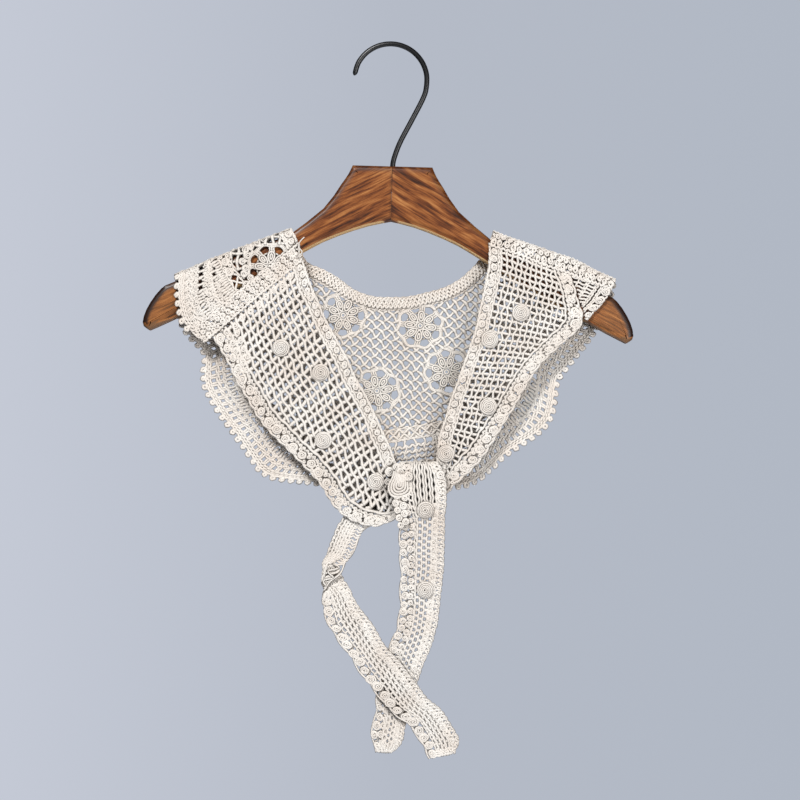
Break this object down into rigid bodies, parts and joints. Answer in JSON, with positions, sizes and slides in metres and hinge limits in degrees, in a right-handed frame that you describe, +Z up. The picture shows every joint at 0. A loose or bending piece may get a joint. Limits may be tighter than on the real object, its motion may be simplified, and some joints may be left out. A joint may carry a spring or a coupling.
{
  "type": "detachable crochet collar on a wooden clothes hanger",
  "caption": "Crocheted cotton shawl collar with scalloped back edging and tie ends knotted in front, hung on a wooden hanger with a metal hook.",
  "frame": {"origin": "inside top of the hanger's hook, where a rail carries it", "axes": "+Z up, the collar's front faces -Y, +X to the right of somebody who looks at the front"},
  "size_m": [0.379, 0.0344, 0.554],
  "materials": {
    "cotton": "matt open crochet of unbleached cotton yarn",
    "cotton_braid": "matt close crochet of unbleached cotton yarn",
    "stained_wood": "walnut-stained softwood, satin varnish",
    "black_metal": "satin black coated steel wire"
  },
  "bodies": {
    "root": {"hanger_half_left": "stained_wood", "hanger_half_right": "stained_wood", "hanger_hook": "black_metal", "seam_band_left": "cotton_braid", "seam_band_right": "cotton_braid", "neck_braid_back": "cotton_braid", "back_net": "cotton", "back_ring_braid": "cotton_braid", "scalloped_edging": "cotton", "edging_taper_right": "cotton", "front_net_left": "cotton", "front_neck_braid_left": "cotton_braid", "front_outer_braid_left": "cotton_braid", "front_net_right": "cotton", "front_neck_braid_right": "cotton_braid", "front_outer_braid_right": "cotton_braid", "front_tie": "cotton", "crossing_tie": "cotton", "knot_wrap": "cotton", "rosette_left_1": "cotton_braid", "rosette_left_2": "cotton_braid", "rosette_left_3": "cotton_braid", "rosette_left_4": "cotton_braid", "rosette_right_1": "cotton_braid", "rosette_right_2": "cotton_braid", "rosette_right_3": "cotton_braid", "rosette_right_4": "cotton_braid", "rosette_front_tie_1": "cotton_braid", "rosette_front_tie_2": "cotton_braid", "rosette_crossing_tie": "cotton_braid"}
  },
  "joints": []
}
